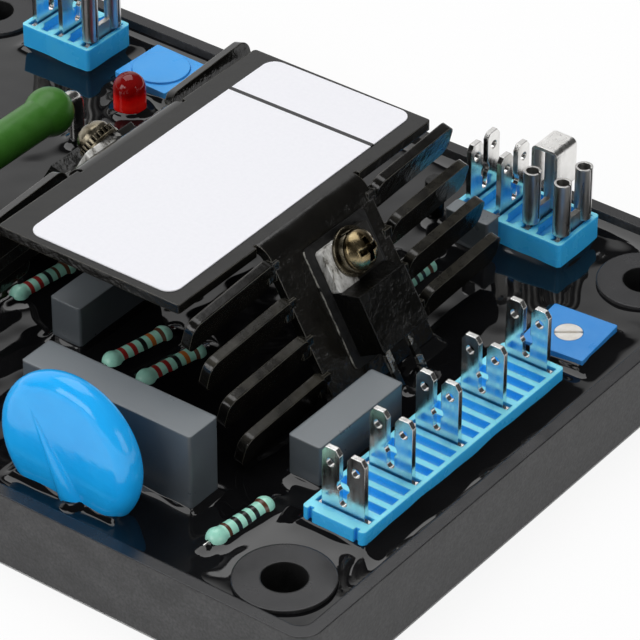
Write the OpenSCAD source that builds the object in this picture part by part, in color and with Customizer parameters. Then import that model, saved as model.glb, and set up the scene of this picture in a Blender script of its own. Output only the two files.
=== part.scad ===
// Automatic voltage regulator for a generator: a moulded tray filled with potting compound,
// a folded finger heat sink, blue terminal blocks with tinned blades and through-hole components.

/* [Tray] */
// Outer length of the tray along X
tray_len = 141.2; // [130:0.1:160]
// Outer width of the tray along Y
tray_wid = 102.5; // [96:0.1:120]
// Height of the tray wall
tray_h = 11.2; // [9:0.1:16]
// Thickness of the tray wall
wall_t = 2.0; // [1.2:0.1:3]
// Thickness of the tray floor
floor_t = 2.0; // [1.2:0.1:3]
// Outer corner radius of the tray
corner_r = 3.0; // [2:0.1:6]

/* [Fixing bosses] */
// Distance of a fixing hole from the short side of the tray
boss_in_x = 11.3; // [10:0.1:14]
// Distance of a fixing hole from the long side of the tray
boss_in_y = 10.3; // [9:0.1:13]
// Diameter of a fixing hole
hole_d = 6.1; // [4:0.1:8]
// Diameter of a boss
boss_d = 13.6; // [10:0.1:16]
// Depth of a boss top below the tray rim
boss_drop = 1.6; // [0.5:0.1:3]

/* [Potting] */
// Depth of the potting surface below the tray rim
pot_drop = 2.1; // [1:0.1:4]
// How deep the components stand in the potting
seat = 3.5; // [2:0.1:5]

/* [Heat sink] */
// Height of the plate top above the potting
plate_rise = 21.9; // [20:0.1:30]
// Plate size across, along X
plate_wid = 30.5; // [24:0.1:34]
// Plate size along Y
plate_len = 55.2; // [48:0.1:64]
// Thickness of the folded sheet
sheet_t = 1.4; // [1:0.1:2]
// Inner radius of the fold between plate and web
fold_r = 1.5; // [1:0.1:3]
// Width of each sloping web along Y
web_w = 21.4; // [18:0.1:22]
// Slope of the webs from level
web_slope = 60; // [55:1:68]
// Width of a finger
finger_w = 5.2; // [4:0.1:5.4]
// Distance between fingers down the web
finger_pitch = 5.62; // [5.5:0.01:5.8]
// Outward lean of the fingers from upright
finger_lean = 16; // [0:1:25]
// Tilt of the fingers from level along Y
finger_tilt = 3; // [-1:0.5:4]
// How far the finger ends reach past the plate
finger_over = 1.0; // [0:0.1:2]
// Length of the twisted neck between web and finger
neck_len = 0.6; // [0.4:0.1:2]
// Width of the twisted neck
neck_w = 2.6; // [1.5:0.1:3]

/* [Label] */
// Label size across, along X
label_wid = 24.3; // [18:0.1:26]
// Label size along Y
label_len = 53.4; // [30:0.1:54]
// Label thickness
label_t = 0.15; // [0.1:0.01:0.3]

/* [Terminals] */
// Width of one blade
blade_w = 2.8; // [2:0.1:3]
// Gap between the two blades of a terminal
blade_gap = 1.2; // [0.8:0.1:2]
// Height of a blade above its block
blade_h = 9.1; // [6:0.1:12]
// Thickness of the terminal sheet
blade_t = 0.8; // [0.5:0.05:0.9]
// Diameter of the hole in a blade
blade_hole_d = 1.3; // [0.8:0.1:1.6]
// Length of the terminal foot
foot_len = 8.0; // [7.4:0.1:8.4]
// Outer diameter of a rolled socket
socket_d = 2.5; // [2:0.1:3]
// Wall of a rolled socket
socket_t = 0.35; // [0.25:0.05:0.5]

/* [Terminal blocks] */
// Width of a block across its terminals
block_w = 9.9; // [9.4:0.1:11]
// Rise of the long strip above the potting
strip_rise = 3.2; // [2.6:0.1:5]
// Rise of the rear blocks above the potting
rear_rise = 4.2; // [2.6:0.1:6]
// Terminal pitch on the long strip
strip_pitch = 10.16; // [10:0.02:10.6]
// Terminal pitch on the rear blocks
rear_pitch = 5.08; // [5:0.02:5.3]
// Depth of the slots that hold the terminals
slot_depth = 2.2; // [1.8:0.1:2.5]

/* [Trimmers] */
// Side of a square trimmer
trim_w = 9.8; // [9:0.1:10.4]
// Rise of a trimmer above the potting
trim_rise = 2.0; // [1.6:0.1:4]
// Diameter of the slotted rotor
rotor_d = 3.9; // [3:0.1:5]
// Diameter of the flush dial
dial_d = 8.6; // [6:0.1:8.8]
// Rise of the dial above its trimmer
dial_rise = 0.3; // [0:0.05:1]
// Running clearance round a rotor
rotor_clear = 0.05; // [0.03:0.01:0.1]

/* [Components] */
// Length of the large box capacitor
cap_l_len = 28; // [24:0.1:30]
// Thickness of the large box capacitor
cap_l_t = 5.7; // [4:0.1:6]
// Rise of the large box capacitor above the potting
cap_l_rise = 12.1; // [8:0.1:14]
// Length of a small box capacitor
cap_s_len = 18; // [14:0.1:19]
// Thickness of a small box capacitor
cap_s_t = 5.2; // [4:0.1:5.6]
// Rise of a small box capacitor above the potting
cap_s_rise = 6.9; // [5:0.1:8]
// Diameter of the varistor disc
var_d = 22.3; // [20:0.1:25]
// Thickness of the varistor disc
var_t = 4.5; // [3.6:0.1:5.6]
// Diameter of the indicator lens
led_d = 4.9; // [4:0.1:5.2]
// Body length of a banded resistor
res_len = 11.4; // [9:0.1:12]
// Waist diameter of a banded resistor
res_d = 2.4; // [1.8:0.1:2.5]
// End diameter of a banded resistor
res_end_d = 2.9; // [2.7:0.1:3.2]
// Body length of the power resistor
pr_len = 26; // [20:0.1:28]
// Waist diameter of the power resistor
pr_d = 5.9; // [5:0.1:6.4]
// End diameter of the power resistor
pr_end_d = 7.3; // [6.6:0.1:8]
// Wire diameter of the power resistor
pr_wire_d = 2.2; // [1:0.1:2.4]
// Wire diameter of a banded resistor
res_wire_d = 0.6; // [0.4:0.05:0.8]

/* [Power device] */
// Width of the power device
dev_w = 10; // [9:0.1:11]
// Length of the moulded body of the power device
dev_len = 9.2; // [8:0.1:10]
// Thickness of the moulded body of the power device
dev_t = 4.5; // [4:0.1:5]
// Thickness of the metal tab
dev_tab_t = 1.3; // [1:0.1:1.6]
// Width of the insulating pad under the power device
pad_w = 13.2; // [11.5:0.1:14]
// Thickness of the insulating pad
pad_t = 0.3; // [0.2:0.05:0.5]
// Shank diameter of the fixing screws
screw_d = 3.0; // [2.6:0.1:3.4]
// Head diameter of the front fixing screw
front_head_d = 5.6; // [5:0.1:6.4]
// Head diameter of the rear fixing screw
rear_head_d = 5.2; // [4.8:0.1:6]

/* [Layout] */
// Distance of the heat sink middle from the front end of the tray
sink_in = 54.85; // [50:0.05:58]
// Distance of the long strip from the front end of the tray
strip_in = 11.45; // [9:0.05:13]
// Distance of the rear block's last terminal row from the front end of the tray
rear_block_in = 39.0; // [36:0.1:42]
// Distance of the corner block's first terminal from the rear end of the tray
corner_in = 22.6; // [20:0.1:25]
// Distance of the rear blocks from the long side of the tray
rear_in = 10.3; // [9:0.1:12]

/* [Hidden] */
$fn = 48;
eps = 0.01;
east = tray_len / 2;
north = tray_wid / 2;
hole_sx = tray_len - 2 * boss_in_x;
hole_sy = tray_wid - 2 * boss_in_y;
pot_z = tray_h - pot_drop;
boss_z = tray_h - boss_drop;
seat_z = pot_z - seat;

plate_z = pot_z + plate_rise;
sink_pos = [east - sink_in, 1.4];
plate_r = 0.5;
relief = 0.6;
half_w = plate_wid / 2;
fold_ro = fold_r + sheet_t;
fold_rm = fold_r + sheet_t / 2;
fold_in = 0.6;
fold_u = half_w - fold_in;
fold_z = plate_z - fold_ro;
web_n = 90 - web_slope;
web_u0 = fold_u + fold_rm * cos(web_n);
web_z0 = fold_z + fold_rm * sin(web_n);
web_sink = 2.5;
web_foot_z = pot_z - web_sink;
finger_s0 = 1.4;
finger_count = 4;
finger_root = web_w / 2 + neck_len;
finger_len = plate_len / 2 + finger_over - finger_root;
finger_r = 1.6;
neck_lap = 0.9;
label_r = 2;
label_off = [0.7, 0.3];
label_turn = 0.5;

strip_top = pot_z + strip_rise;
strip_x = east - strip_in;
strip_first_y = -28.1;
strip_margin = 2.6;
strip_end = 1.6;
strip_n = 5;
strip_len = strip_margin + (strip_n - 1) * strip_pitch + strip_end;
block_r = 0.6;
groove_count = 3;
groove_pitch = strip_pitch / (groove_count + 1);
groove_w = 1.5;
groove_d = 1.2;
slot_clear = 0.25;
slot_w = blade_t + 2 * slot_clear;
slot_len = foot_len + 2 * slot_clear;
key_w = 0.7;
key_d = 0.6;
key_in = 1.3;

rear_top = pot_z + rear_rise;
rear_y = north - rear_in;
rear_x0 = east - rear_block_in;
rear_n = 4;
corner_x0 = corner_in - east;
corner_n = 3;
rear_end = 1.4;
pocket_wall = 0.55;
pocket_d = 1.6;
lobe_r = 1.3;

blade_chamfer = 0.6;
blade_hole_drop = 2.2;
blade_base = -0.3;
crotch_z = 1.3;
notch_z = 3.7;
notch_d = 2.0;
socket_lift = 0.5;
socket_h = 8.3;
socket_off = 2.6;
bridge_z = 2.2;
bridge_l = 2 * socket_off - socket_d + socket_t;
socket_slit = 0.3;
socket_floor = 0.8;
neck_plate = 1.4;
link_w = 4.3;
link_len = 4.8;
link_h = 7.2;
link_t = 0.5;
link_r = 0.9;
link_rise = 1.6;

trim_front_in = 11.6;
trim_front_y = 22.6;
trim_front = [east - trim_front_in, trim_front_y];
trim_front_turn = 4.7;
trim_rear_off = 21.0;
trim_rear_in = 9.75;
trim_rear = [corner_x0 + trim_rear_off, north - trim_rear_in];
trim_rear_turn = -2;
trim_top = pot_z + trim_rise;
trim_r = 0.3;
rotor_h = 1.6;
rotor_floor = 0.3;
rotor_turn = 32;
rotor_slot_w = 0.5;
rotor_slot_d = 0.4;

cap_r = 0.4;
cap_l_in = 16.75;
cap_l_off = 11.75;
cap_l_pos = [sink_pos[0] + cap_l_off, cap_l_in - north];
cap_front_pos = [strip_x - 9.85, -14.7];
cap_mid_pos = [sink_pos[0] - 10.85, -9.6];
cap_rear_gap = 0.5;
cap_rear_size = [7.2, 3.0];
cap_rear_pos = [rear_x0 + 3.2, rear_y - block_w / 2 - cap_rear_gap - cap_rear_size[1] / 2];
cap_rear_rise = 5.6;
var_gap = 3.25;
var_off = -1.05;
var_rise = 7.05;
var_pos = [cap_l_pos[0] + var_off, cap_l_pos[1] - cap_l_t / 2 - var_t / 2 - var_gap];
var_z = pot_z + var_rise;
ridge_turn = 27;
ridge_len = 16;
ridge_r = 3.0;
ridge_tip = [-4.8, 5.3];
ridge_dip = 6.5;
led_off = 22.5;
led_in = 18.95;
led_pos = [corner_x0 + led_off, north - led_in];
led_rise = 3.9;
res_rise = 0.5;
res_z = pot_z + res_rise;
res_reach = 1.3;
res_bend_r = 0.7;
sink_x = sink_pos[0];
res_1_in = [11.15, 15.75];
res_2_at = [-2.2, -14.0];
res_3_at = [3.95, -14.35];
res_4_at = [-22.6, -9.65];
res_5_at = [12.05, 19.05];
res_6_at = [18.05, 20.65];
res_places = [[strip_x - res_1_in[0], res_1_in[1] - north, 6], [sink_x + res_2_at[0], res_2_at[1], 11],
              [sink_x + res_3_at[0], res_3_at[1], 11], [sink_x + res_4_at[0], res_4_at[1], 7],
              [sink_x + res_5_at[0], res_5_at[1], 0], [sink_x + res_6_at[0], res_6_at[1], -3]];
bone_angle = 20;
bone_flat = 0.3;
pr_off = 41.95;
pr_pos = [sink_x - pr_off, 5.5];
pr_rise = 8.2;
pr_z = pot_z + pr_rise;
pr_reach = 2.6;
pr_bend_r = 1.6;
cyl_pos = [rear_x0 - 5.0, north - 14.85];
cyl_d = 2.8;
cyl_rise = 6.5;

front_dev = [5.1, 1.5];
rear_dev = [4.1, 0.4];
dev_tab_len = 3.9;
dev_tab_up = 2.4;
dev_tab_r = 0.6;
dev_slope = 0.9;
dev_leg_len = 9.4;
dev_leg_w = 1.1;
dev_leg_t = 0.6;
dev_leg_pitch = 5.08;
pad_up = 3.6;
pad_len = 18;
pad_r = 0.8;
washer_d = 6.0;
washer_t = 1.0;
washer_split = 0.5;
flat_d = 7.0;
rear_flat_d = 6.2;
flat_t = 0.5;
tooth_d = 6.0;
tooth_n = 24;
tooth_w = 0.35;
tooth_cut = 0.4;
screw_head_h = 2.3;
head_edge = 0.3;
recess_w = 0.9;
recess_len = 3.4;
recess_d = 1.2;
nut_side = 2.0;
clamp_l = pad_t + dev_tab_t + flat_t + washer_t;

// Rectangle with round corners, centred
module round_rect(l, w, r) {
  square([l - 2 * r, w], center = true);
  square([l, w - 2 * r], center = true);
  for (x = [-1, 1], y = [-1, 1]) translate([x * (l / 2 - r), y * (w / 2 - r)]) circle(r);
}

// Four places of the fixing holes
module at_bosses() {
  for (x = [-1, 1], y = [-1, 1]) translate([x * hole_sx / 2, y * hole_sy / 2, 0]) children();
}

module tray() {
  color([0.16, 0.16, 0.17])
  difference() {
    union() {
      difference() {
        linear_extrude(tray_h) round_rect(tray_len, tray_wid, corner_r);
        translate([0, 0, floor_t]) linear_extrude(tray_h)
          round_rect(tray_len - 2 * wall_t, tray_wid - 2 * wall_t, corner_r - wall_t / 2);
      }
      at_bosses() translate([0, 0, floor_t / 2]) cylinder(d = boss_d, h = boss_z - floor_t / 2);
    }
    at_bosses() translate([0, 0, -1]) cylinder(d = hole_d, h = tray_h + 2);
  }
}

module potting() {
  color([0.03, 0.03, 0.03])
  difference() {
    translate([0, 0, floor_t]) linear_extrude(pot_z - floor_t)
      round_rect(tray_len - 2 * wall_t, tray_wid - 2 * wall_t, corner_r - wall_t / 2);
    at_bosses() cylinder(d = boss_d, h = tray_h + 1);
    strip_body();
    rear_body(rear_x0, rear_n);
    rear_body(corner_x0, corner_n);
    at_trimmer(trim_front, trim_front_turn) trimmer_box();
    at_trimmer(trim_rear, trim_rear_turn) trimmer_box();
    cap_large_box();
    cap_box(cap_front_pos);
    cap_box(cap_mid_pos);
    cap_rear_box();
    varistor_disc();
    translate([led_pos[0], led_pos[1], seat_z]) cylinder(d = led_d, h = seat + 1);
    for (p = res_places) at_resistor(p) {
      cylinder(d = res_end_d, h = res_len, center = true);
      lead_pair(res_len, res_wire_d, res_reach, res_bend_r, res_z - seat_z);
    }
    at_power() lead_pair(pr_len, pr_wire_d, pr_reach, pr_bend_r, pr_z - seat_z);
    translate([cyl_pos[0], cyl_pos[1], seat_z]) cylinder(d = cyl_d, h = seat + 1);
    both_webs() web_slab();
    at_front(pad_t) device_leg_form();
    at_back(pad_t) device_leg_form();
  }
}

// Outline of one sloping web, outward u and height z
module web_profile() {
  run = (web_z0 - web_foot_z) / tan(web_slope);
  hx = sheet_t / 2 * sin(web_slope);
  hz = sheet_t / 2 * cos(web_slope);
  fx = sheet_t / 2 / sin(web_slope);
  polygon([[web_u0 + hx, web_z0 + hz], [web_u0 + run + fx, web_foot_z],
           [web_u0 + run - fx, web_foot_z], [web_u0 - hx, web_z0 - hz]]);
}

// Slab along Y from an outline in u and z
module along_y(w) {
  rotate([90, 0, 0]) linear_extrude(w, center = true) children();
}

module web_slab() {
  along_y(web_w) web_profile();
}

// Fold from the level plate into the sloping web
module fold() {
  far = 3 * fold_ro;
  intersection() {
    translate([fold_u, 0, fold_z]) rotate([90, 0, 0]) difference() {
      cylinder(r = fold_ro, h = web_w, center = true);
      cylinder(r = fold_r, h = web_w + 2, center = true);
    }
    translate([fold_u, 0, fold_z]) along_y(web_w)
      polygon([[0, 0], [0, far], [far, far], [far, far * tan(web_n)]]);
  }
}

// Place a child on the middle line of the web, s down the slope
module on_web(s) {
  translate([web_u0 + s * cos(web_slope), 0, web_z0 - s * sin(web_slope)]) children();
}

// Finger to one side of a web, leaning outward at its upper edge
module finger(side) {
  translate([0, side * finger_root, 0]) rotate([finger_tilt, 0, 0]) rotate([0, 90 + finger_lean, 0])
    linear_extrude(sheet_t, center = true) translate([0, side * finger_len / 2])
      round_rect(finger_w, finger_len, finger_r);
  translate([0, side * (finger_root - neck_len / 2), 0]) rotate([0, 90 + (finger_lean - web_n) / 2, 0])
    cube([neck_w, neck_len + 2 * neck_lap, sheet_t], center = true);
}

// Fold, web and fingers of one side, with the screw hole at the given place
module web_with_fingers(at) {
  difference() {
    union() {
      translate([0, 0, plate_z - sheet_t / 2]) cube([2 * fold_u, web_w, sheet_t], center = true);
      fold();
      web_slab();
      for (i = [0:finger_count - 1], side = [-1, 1])
        on_web(finger_s0 + i * finger_pitch) finger(side);
    }
    on_device(0, at) cylinder(d = screw_d, h = 4 * fold_ro, center = true);
  }
}

module both_webs() {
  translate([sink_pos[0], sink_pos[1], 0]) {
    children();
    mirror([1, 0, 0]) children();
  }
}

module heat_sink() {
  color([0.05, 0.05, 0.05])
  translate([sink_pos[0], sink_pos[1], 0]) {
    translate([0, 0, plate_z - sheet_t]) linear_extrude(sheet_t) difference() {
      round_rect(plate_wid, plate_len, plate_r);
      for (x = [-1, 1]) translate([x * (fold_u + plate_wid / 2), 0])
        square([plate_wid, web_w + 2 * relief], center = true);
    }
    web_with_fingers(front_dev);
    mirror([1, 0, 0]) web_with_fingers(rear_dev);
  }
}

module label() {
  color([0.92, 0.92, 0.94])
  translate([sink_pos[0] + label_off[0], sink_pos[1] + label_off[1], plate_z]) rotate([0, 0, label_turn])
    linear_extrude(label_t) round_rect(label_wid, label_len, label_r);
}

// Long block, with two upright keyways in its end
module strip_body() {
  mid_y = strip_first_y - strip_margin + strip_len / 2;
  translate([strip_x, mid_y, seat_z]) linear_extrude(seat + strip_rise) difference() {
    round_rect(block_w, strip_len, block_r);
    for (x = [-1, 1]) translate([x * (block_w / 2 - key_in), -strip_len / 2])
      square([key_w, 2 * key_d], center = true);
  }
}

// Round-bottomed groove across the strip, cut down from its top
module strip_groove() {
  rotate([90, 0, 90]) linear_extrude(slot_len, center = true) {
    translate([0, groove_w / 2 - groove_d]) circle(d = groove_w);
    translate([-groove_w / 2, groove_w / 2 - groove_d]) square([groove_w, groove_d]);
  }
}

module strip_block() {
  color([0.25, 0.66, 0.92])
  difference() {
    strip_body();
    for (i = [0:strip_n - 1])
      translate([strip_x, strip_first_y + i * strip_pitch, strip_top - slot_depth / 2 + eps])
        cube([slot_len, slot_w, slot_depth + 2 * eps], center = true);
    for (i = [0:strip_n - 2], j = [1:groove_count])
      translate([strip_x, strip_first_y + i * strip_pitch + j * groove_pitch, strip_top]) strip_groove();
  }
}

// Front outline of a terminal with two blades; zero height is the top of its block
module blade_outline() {
  pair = blade_w + blade_gap;
  difference() {
    union() {
      translate([-foot_len / 2, -slot_depth]) square([foot_len, slot_depth + blade_base]);
      for (x = [-1, 1]) translate([x * pair / 2, 0])
        polygon([[-blade_w / 2, -slot_depth], [blade_w / 2, -slot_depth],
                 [blade_w / 2, blade_h - 1.4 * blade_chamfer], [blade_w / 2 - blade_chamfer, blade_h],
                 [-blade_w / 2 + blade_chamfer, blade_h], [-blade_w / 2, blade_h - 1.4 * blade_chamfer]]);
      translate([-pair / 2, -slot_depth]) square([pair, slot_depth + crotch_z]);
    }
    translate([0, crotch_z]) circle(d = blade_gap);
    for (x = [-1, 1]) translate([x * pair / 2, blade_h - blade_hole_drop]) circle(d = blade_hole_d);
    translate([0, notch_z]) circle(d = notch_d);
  }
}

module blade_terminal() {
  color([0.82, 0.82, 0.8])
  rotate([90, 0, 0]) linear_extrude(blade_t, center = true) blade_outline();
}

module strip_terminal(i) {
  translate([strip_x, strip_first_y + i * strip_pitch, strip_top]) blade_terminal();
}

// Block with n terminals, the first at x0
module rear_body(x0, n) {
  len = (n - 1) * rear_pitch + 2 * rear_end;
  translate([x0 - rear_end + len / 2, rear_y, seat_z]) linear_extrude(seat + rear_rise)
    round_rect(len, block_w, block_r);
}

// Pocket between two terminals, with a round lobe left standing at each slot end
module rear_pocket() {
  linear_extrude(pocket_d + 1) difference() {
    square([rear_pitch - slot_w - 2 * pocket_wall, slot_len], center = true);
    for (x = [-1, 1], y = [-1, 1]) translate([x * rear_pitch / 2, y * slot_len / 2])
      circle(lobe_r + slot_w / 2);
  }
}

module rear_block_form(x0, n) {
  color([0.25, 0.66, 0.92])
  difference() {
    rear_body(x0, n);
    for (i = [0:n - 1]) translate([x0 + i * rear_pitch, rear_y, rear_top - slot_depth / 2 + eps])
      cube([slot_w, slot_len, slot_depth + 2 * eps], center = true);
    for (i = [0:n - 2]) translate([x0 + (i + 0.5) * rear_pitch, rear_y, rear_top - pocket_d]) rear_pocket();
  }
}

module rear_block() {
  rear_block_form(rear_x0, rear_n);
}

module corner_block() {
  rear_block_form(corner_x0, corner_n);
}

module at_rear(x0, i) {
  translate([x0 + i * rear_pitch, rear_y, rear_top]) rotate([0, 0, 90]) children();
}

// Terminal with two rolled sockets; the one at the long side stands taller by rise
module socket_terminal(rise = 0) {
  color([0.82, 0.82, 0.8]) {
    rotate([90, 0, 0]) linear_extrude(blade_t, center = true) {
      translate([-foot_len / 2, -slot_depth]) square([foot_len, slot_depth + blade_base]);
      translate([-socket_off - neck_plate / 2, -slot_depth])
        square([2 * socket_off + neck_plate, slot_depth + socket_lift + socket_floor / 2]);
      translate([-bridge_l / 2, 0]) square([bridge_l, bridge_z]);
    }
    for (x = [-1, 1]) translate([x * socket_off, 0, socket_lift])
      rolled_socket(socket_h + (x > 0 ? rise : 0));
  }
}

module rolled_socket(h) {
  difference() {
    cylinder(d = socket_d, h = h);
    translate([0, 0, socket_floor]) cylinder(d = socket_d - 2 * socket_t, h = h);
    translate([0, -socket_d / 2, h / 2 + socket_floor]) cube([socket_slit, socket_d, h], center = true);
  }
}

module socket_link() {
  color([0.85, 0.85, 0.84])
  at_rear(rear_x0, 2) translate([socket_off, 0, socket_lift + socket_h + link_rise]) rotate([0, 0, 90])
    along_y(link_len) difference() {
      translate([0, link_t - link_h / 2]) round_rect(link_w, link_h, link_r);
      translate([0, -link_h / 2 - link_r])
        round_rect(link_w - 2 * link_t, link_h + 2 * link_r, link_r - link_t);
    }
}

module at_trimmer(p, turn) {
  translate([p[0], p[1], 0]) rotate([0, 0, turn]) children();
}

module trimmer_box() {
  translate([0, 0, seat_z]) linear_extrude(trim_top - seat_z) round_rect(trim_w, trim_w, trim_r);
}

module trimmer_body(d) {
  color([0.2, 0.5, 0.85])
  difference() {
    trimmer_box();
    translate([0, 0, trim_top - rotor_h - rotor_floor]) cylinder(d = d + 2 * rotor_clear, h = rotor_h + 1);
  }
}

module trimmer_front_body() {
  at_trimmer(trim_front, trim_front_turn) trimmer_body(rotor_d);
}

module trimmer_front_rotor() {
  color([0.9, 0.88, 0.85])
  at_trimmer(trim_front, trim_front_turn) translate([0, 0, trim_top - rotor_h]) difference() {
    cylinder(d = rotor_d, h = rotor_h);
    translate([0, 0, rotor_h]) rotate([0, 0, rotor_turn])
      cube([rotor_d + 1, rotor_slot_w, 2 * rotor_slot_d], center = true);
  }
}

module trimmer_rear_body() {
  at_trimmer(trim_rear, trim_rear_turn) trimmer_body(dial_d);
}

module trimmer_rear_dial() {
  color([0.25, 0.55, 0.9])
  at_trimmer(trim_rear, trim_rear_turn) translate([0, 0, trim_top - rotor_h])
    cylinder(d = dial_d, h = rotor_h + dial_rise);
}

module indicator() {
  color([0.7, 0.03, 0.03])
  translate([led_pos[0], led_pos[1], seat_z]) {
    cylinder(d = led_d, h = seat + led_rise);
    translate([0, 0, seat + led_rise]) intersection() {
      sphere(d = led_d);
      translate([0, 0, led_d / 2]) cube([led_d + 1, led_d + 1, led_d], center = true);
    }
  }
}

module cap_large_box() {
  translate([cap_l_pos[0], cap_l_pos[1], seat_z]) linear_extrude(seat + cap_l_rise)
    round_rect(cap_l_len, cap_l_t, cap_r);
}

module capacitor_large() {
  color([0.33, 0.35, 0.37]) cap_large_box();
}

module cap_box(p) {
  translate([p[0], p[1], seat_z]) linear_extrude(seat + cap_s_rise) round_rect(cap_s_t, cap_s_len, cap_r);
}

module capacitor_front() {
  color([0.4, 0.43, 0.46]) cap_box(cap_front_pos);
}

module capacitor_mid() {
  color([0.33, 0.35, 0.37]) cap_box(cap_mid_pos);
}

module cap_rear_box() {
  translate([cap_rear_pos[0], cap_rear_pos[1], seat_z]) linear_extrude(seat + cap_rear_rise)
    round_rect(cap_rear_size[0], cap_rear_size[1], cap_r);
}

module capacitor_rear() {
  color([0.45, 0.45, 0.47]) cap_rear_box();
}

// Coated disc with a round edge; the ridge of a lead shows on its outer face
module varistor_disc() {
  r = var_t / 2;
  translate([var_pos[0], var_pos[1], var_z]) {
    rotate([90, 0, 0]) rotate_extrude($fn = 96) {
      translate([0, -r]) square([var_d / 2 - r, var_t]);
      intersection() {
        translate([var_d / 2 - r, 0]) circle(r);
        translate([var_d / 2 - r, -r]) square([r, var_t]);
      }
    }
    translate([ridge_tip[0], -r, ridge_tip[1]]) rotate([0, -ridge_turn, 0]) rotate([180 + ridge_dip, 0, 0])
      cylinder(r1 = 0, r2 = ridge_r, h = ridge_len);
  }
}

module varistor() {
  color([0.15, 0.5, 0.85]) varistor_disc();
}

module at_resistor(p) {
  translate([p[0], p[1], res_z]) rotate([0, 0, -p[2]]) rotate([90, 0, 0]) children();
}

// Dog-bone body about the Z axis: a waist that flares into two ball ends, flat where the wires leave
module bone(l, waist, fat, wire) {
  r = fat / 2;
  flat_r = wire / 2 + bone_flat;
  mid = l / 2 - sqrt(r * r - flat_r * flat_r);
  flare_z = mid - r * sin(bone_angle);
  flare_r = r * cos(bone_angle);
  flare_l = (flare_r - waist / 2) / tan(bone_angle);
  cylinder(d = waist, h = 2 * (flare_z - flare_l), center = true);
  for (s = [0, 1]) mirror([0, 0, s]) {
    translate([0, 0, flare_z - flare_l]) cylinder(d1 = waist, r2 = flare_r, h = flare_l);
    intersection() {
      translate([0, 0, mid]) sphere(r);
      translate([0, 0, (flare_z + l / 2) / 2]) cube([2 * fat, 2 * fat, l / 2 - flare_z], center = true);
    }
  }
}

module resistor_form() {
  bone(res_len, res_d, res_end_d, res_wire_d);
}

module resistor(i) {
  color([0.55, 0.78, 0.66]) at_resistor(res_places[i]) resistor_form();
}

// Frame of the power resistor: Z along its body
module at_power() {
  translate([pr_pos[0], pr_pos[1], pr_z]) rotate([90, 0, 0]) children();
}

module power_resistor() {
  color([0.27, 0.48, 0.18]) at_power() bone(pr_len, pr_d, pr_end_d, pr_wire_d);
}

// Two wires that leave the ends of a lying body, bend down and stand to the given drop below its axis
module lead_pair(l, d, reach, bend, drop) {
  for (s = [0, 1]) mirror([0, 0, s]) translate([0, 0, l / 2]) {
    cylinder(d = d, h = reach - bend);
    translate([0, -bend, reach - bend]) intersection() {
      rotate([0, 90, 0]) rotate_extrude() translate([bend, 0]) circle(d = d);
      translate([0, 2 * bend, 2 * bend]) cube(4 * bend, center = true);
    }
    translate([0, -bend, reach]) rotate([90, 0, 0]) cylinder(d = d, h = drop - bend);
  }
}

module power_resistor_leads() {
  color([0.5, 0.5, 0.5]) at_power() lead_pair(pr_len, pr_wire_d, pr_reach, pr_bend_r, pr_z - seat_z);
}

module resistor_leads() {
  color([0.6, 0.6, 0.58]) for (p = res_places) at_resistor(p)
    lead_pair(res_len, res_wire_d, res_reach, res_bend_r, res_z - seat_z);
}

module sleeve_component() {
  color([0.05, 0.05, 0.06])
  translate([cyl_pos[0], cyl_pos[1], seat_z]) cylinder(d = cyl_d, h = seat + cyl_rise);
}

// Frame of a screw on a web, at = [down the web, along the web]: x down the web, z out of its face
module on_device(out, at) {
  translate([0, at[1], 0]) on_web(at[0]) rotate([0, web_slope, 0])
    translate([0, 0, sheet_t / 2 + out]) children();
}

// Screw place of the front web, out of its face by the given distance
module at_front(out) {
  translate([sink_pos[0], sink_pos[1], 0]) on_device(out, front_dev) children();
}

// Screw place of the rear web, out of its face by the given distance
module at_back(out) {
  translate([sink_pos[0], sink_pos[1], 0]) mirror([1, 0, 0]) on_device(out, rear_dev) children();
}

module pad_form() {
  color([0.2, 0.2, 0.21])
  linear_extrude(pad_t) difference() {
    translate([pad_len / 2 - pad_up, 0]) round_rect(pad_len, pad_w, pad_r);
    circle(d = screw_d);
  }
}

module device_pad() {
  at_front(0) pad_form();
}

module rear_device_pad() {
  at_back(0) pad_form();
}

module tab_form() {
  color([0.75, 0.74, 0.7])
  linear_extrude(dev_tab_t) difference() {
    translate([dev_tab_len / 2 - dev_tab_up / 2, 0]) round_rect(dev_tab_len + dev_tab_up, dev_w, dev_tab_r);
    circle(d = screw_d);
  }
}

module device_tab() {
  at_front(pad_t) tab_form();
}

module rear_device_tab() {
  at_back(pad_t) tab_form();
}

module device_form() {
  color([0.04, 0.04, 0.045])
  along_y(dev_w)
    polygon([[dev_tab_len, 0], [dev_tab_len + dev_len, 0], [dev_tab_len + dev_len, dev_t],
             [dev_tab_len + dev_slope, dev_t], [dev_tab_len, dev_tab_t]]);
}

module device_body() {
  at_front(pad_t) device_form();
}

module rear_device_body() {
  at_back(pad_t) device_form();
}

module device_leg_form() {
  color([0.7, 0.7, 0.68])
  for (j = [-1, 1]) translate([dev_tab_len + dev_len + dev_leg_len / 2, j * dev_leg_pitch / 2, dev_t / 2])
    cube([dev_leg_len, dev_leg_w, dev_leg_t], center = true);
}

module device_legs() {
  at_front(pad_t) device_leg_form();
}

module rear_device_legs() {
  at_back(pad_t) device_leg_form();
}

// Pan-head screw with a cross recess
module screw(l, head_d) {
  dome_r = (head_d * head_d / 4 + screw_head_h * screw_head_h) / (2 * screw_head_h) + head_edge;
  cylinder(d = screw_d, h = l);
  translate([0, 0, l]) difference() {
    intersection() {
      cylinder(d = head_d, h = screw_head_h);
      translate([0, 0, screw_head_h - dome_r]) sphere(dome_r);
    }
    for (a = [0, 90]) translate([0, 0, screw_head_h]) rotate([0, 0, a])
      cube([recess_len, recess_w, 2 * recess_d], center = true);
  }
}

module front_screw() {
  color([0.62, 0.52, 0.33])
  at_front(-sheet_t - nut_side) screw(clamp_l + sheet_t + nut_side, front_head_d);
}

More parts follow.
